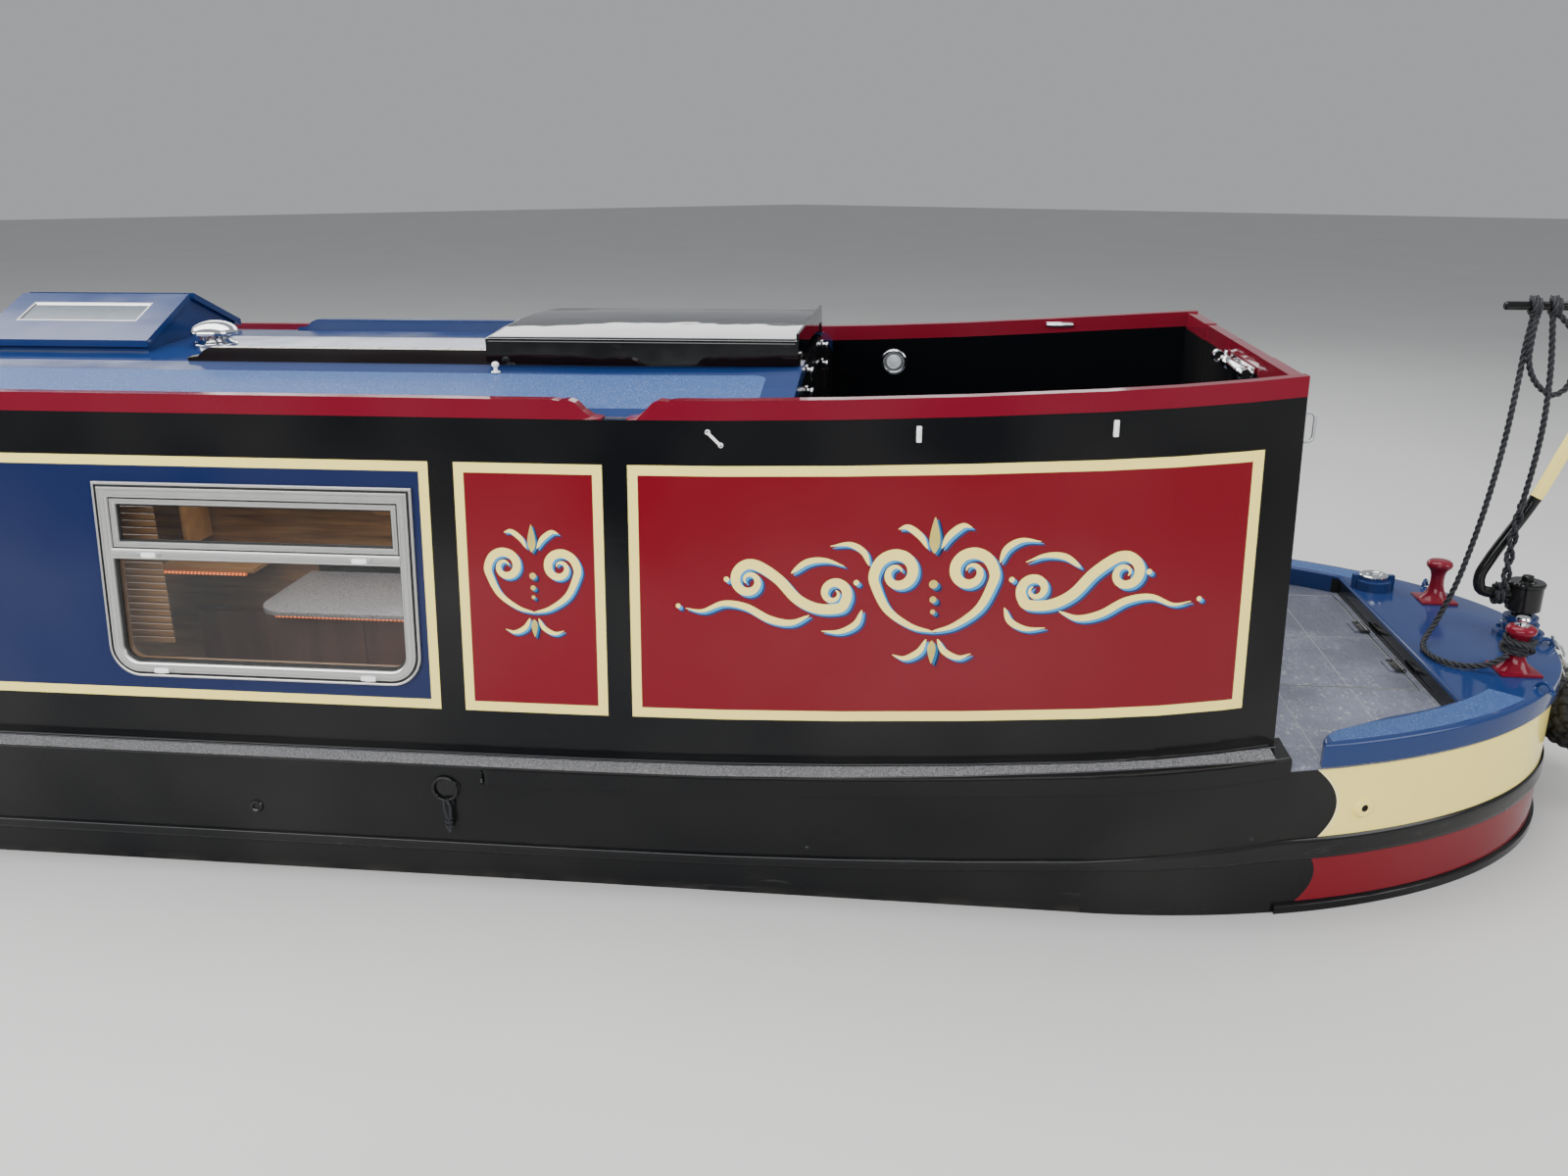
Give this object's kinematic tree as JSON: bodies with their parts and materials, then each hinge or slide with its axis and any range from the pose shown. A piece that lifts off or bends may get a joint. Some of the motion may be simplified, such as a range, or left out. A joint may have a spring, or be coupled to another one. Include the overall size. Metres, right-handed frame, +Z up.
{
  "type": "narrowboat",
  "caption": "Long narrow steel canal boat with a full-length cabin, a semi-enclosed steering well, a swan-neck tiller and a rounded counter stern.",
  "frame": {"origin": "on the underside of the base plate, at the middle of the length over fenders and on the centre line", "axes": "+X aft towards the rudder, +Y to starboard, +Z up"},
  "size_m": [17.77, 2.082, 2.391],
  "materials": {
    "hull_black": "satin black hull paint",
    "cabin_black": "gloss black coach paint",
    "blue": "gloss mid-blue coach paint, grit in the walkways",
    "red": "gloss crimson coach paint",
    "cream": "gloss cream counter band over a crimson band",
    "deck_grey": "textured grey deck covering",
    "wood": "satin hardwood with a grey worktop",
    "chrome": "polished",
    "aluminium": "satin anodised frames round clear panes",
    "bronze": "cast propeller bronze",
    "rope": "black woven rope",
    "engine_green": "engine enamel"
  },
  "bodies": {
    "root": {"base_plate": "hull_black", "stem_post": "hull_black", "uxter_plate": "hull_black", "skeg": "hull_black", "second_guard": "hull_black", "counter_stern": "cream", "stern_deck": "deck_grey", "well_floor": "deck_grey", "bow_well": "deck_grey", "stern_capping": "blue", "fore_deck": "blue", "roof": "blue", "pigeon_box": "blue", "fuel_filler": "blue", "rudder_bearing": "blue", "front_bulkhead": "cabin_black", "rear_bulkhead": "cabin_black", "aft_bulkhead": "cabin_black", "bow_dolly": "red", "engine_block": "engine_green", "cabin_floor": "wood", "roof_vent_aft": "chrome", "roof_vent_fore": "chrome", "stern_fender": "rope", "bow_fender": "rope", "tiller_line": "rope", "hull_side_port": "hull_black", "swim_port": "hull_black", "cabin_side_port": "cabin_black", "hatch_runner_port": "cabin_black", "handrail_port": "red", "coaming_port": "red", "dolly_port": "red", "window_port_1": "aluminium", "window_port_2": "aluminium", "window_port_3": "aluminium", "hull_side_starboard": "hull_black", "swim_starboard": "hull_black", "cabin_side_starboard": "cabin_black", "hatch_runner_starboard": "cabin_black", "handrail_starboard": "red", "coaming_starboard": "red", "dolly_starboard": "red", "window_starboard_1": "aluminium", "window_starboard_2": "aluminium", "window_starboard_3": "aluminium"},
    "steering": {"rudder": "hull_black", "tiller": "cabin_black"},
    "screw": {"propeller": "bronze"},
    "hatch": {"sliding_hatch": "cabin_black"},
    "board": {"deck_board": "deck_grey"},
    "rear_door_port": {"rear_door_port": "cabin_black"},
    "aft_door_port": {"aft_door_port": "cabin_black"},
    "front_door_port": {"front_door_port": "blue"},
    "pigeon_lid_port": {"pigeon_lid_port": "blue"},
    "rear_door_starboard": {"rear_door_starboard": "cabin_black"},
    "aft_door_starboard": {"aft_door_starboard": "cabin_black"},
    "front_door_starboard": {"front_door_starboard": "blue"},
    "pigeon_lid_starboard": {"pigeon_lid_starboard": "blue"}
  },
  "joints": [
    {"name": "rudder_turn", "type": "hinge", "parent": "root", "child": "steering", "pos_m": [8.58, 0, 0.8], "axis": [0, 0, 1], "range_deg": [-60, 60], "deforming": ["tiller_line"]},
    {"name": "propeller_spin", "type": "hinge", "parent": "root", "child": "screw", "pos_m": [7.855, 0, 0.38], "axis": [1, 0, 0], "continuous": true},
    {"name": "hatch_slide", "type": "slide", "parent": "root", "child": "hatch", "axis": [-1, 0, 0], "range_m": [0, 0.75]},
    {"name": "board_lift", "type": "hinge", "parent": "root", "child": "board", "pos_m": [8.15, 0.1, 1.211], "axis": [0, 1, 0], "range_deg": [0, 95]},
    {"name": "rear_door_port_swing", "type": "hinge", "parent": "root", "child": "rear_door_port", "pos_m": [6.1953, -0.329, 1.7], "axis": [0, 0, -1], "range_deg": [0, 100]},
    {"name": "aft_door_port_swing", "type": "hinge", "parent": "root", "child": "aft_door_port", "pos_m": [7.5803, -0.399, 1.8], "axis": [0, 0, -1], "range_deg": [0, 95]},
    {"name": "front_door_port_swing", "type": "hinge", "parent": "root", "child": "front_door_port", "pos_m": [-5.9553, -0.299, 1.5], "axis": [0, 0, 1], "range_deg": [0, 100]},
    {"name": "pigeon_lid_port_lift", "type": "hinge", "parent": "root", "child": "pigeon_lid_port", "pos_m": [3.69, -0.014, 2.382], "axis": [-1, 0, 0], "range_deg": [0, 60]},
    {"name": "rear_door_starboard_swing", "type": "hinge", "parent": "root", "child": "rear_door_starboard", "pos_m": [6.1953, 0.329, 1.7], "axis": [0, 0, 1], "range_deg": [0, 100]},
    {"name": "aft_door_starboard_swing", "type": "hinge", "parent": "root", "child": "aft_door_starboard", "pos_m": [7.5803, 0.399, 1.8], "axis": [0, 0, 1], "range_deg": [0, 95]},
    {"name": "front_door_starboard_swing", "type": "hinge", "parent": "root", "child": "front_door_starboard", "pos_m": [-5.9553, 0.299, 1.5], "axis": [0, 0, -1], "range_deg": [0, 100]},
    {"name": "pigeon_lid_starboard_lift", "type": "hinge", "parent": "root", "child": "pigeon_lid_starboard", "pos_m": [3.69, 0.014, 2.382], "axis": [1, 0, 0], "range_deg": [0, 60]}
  ]
}
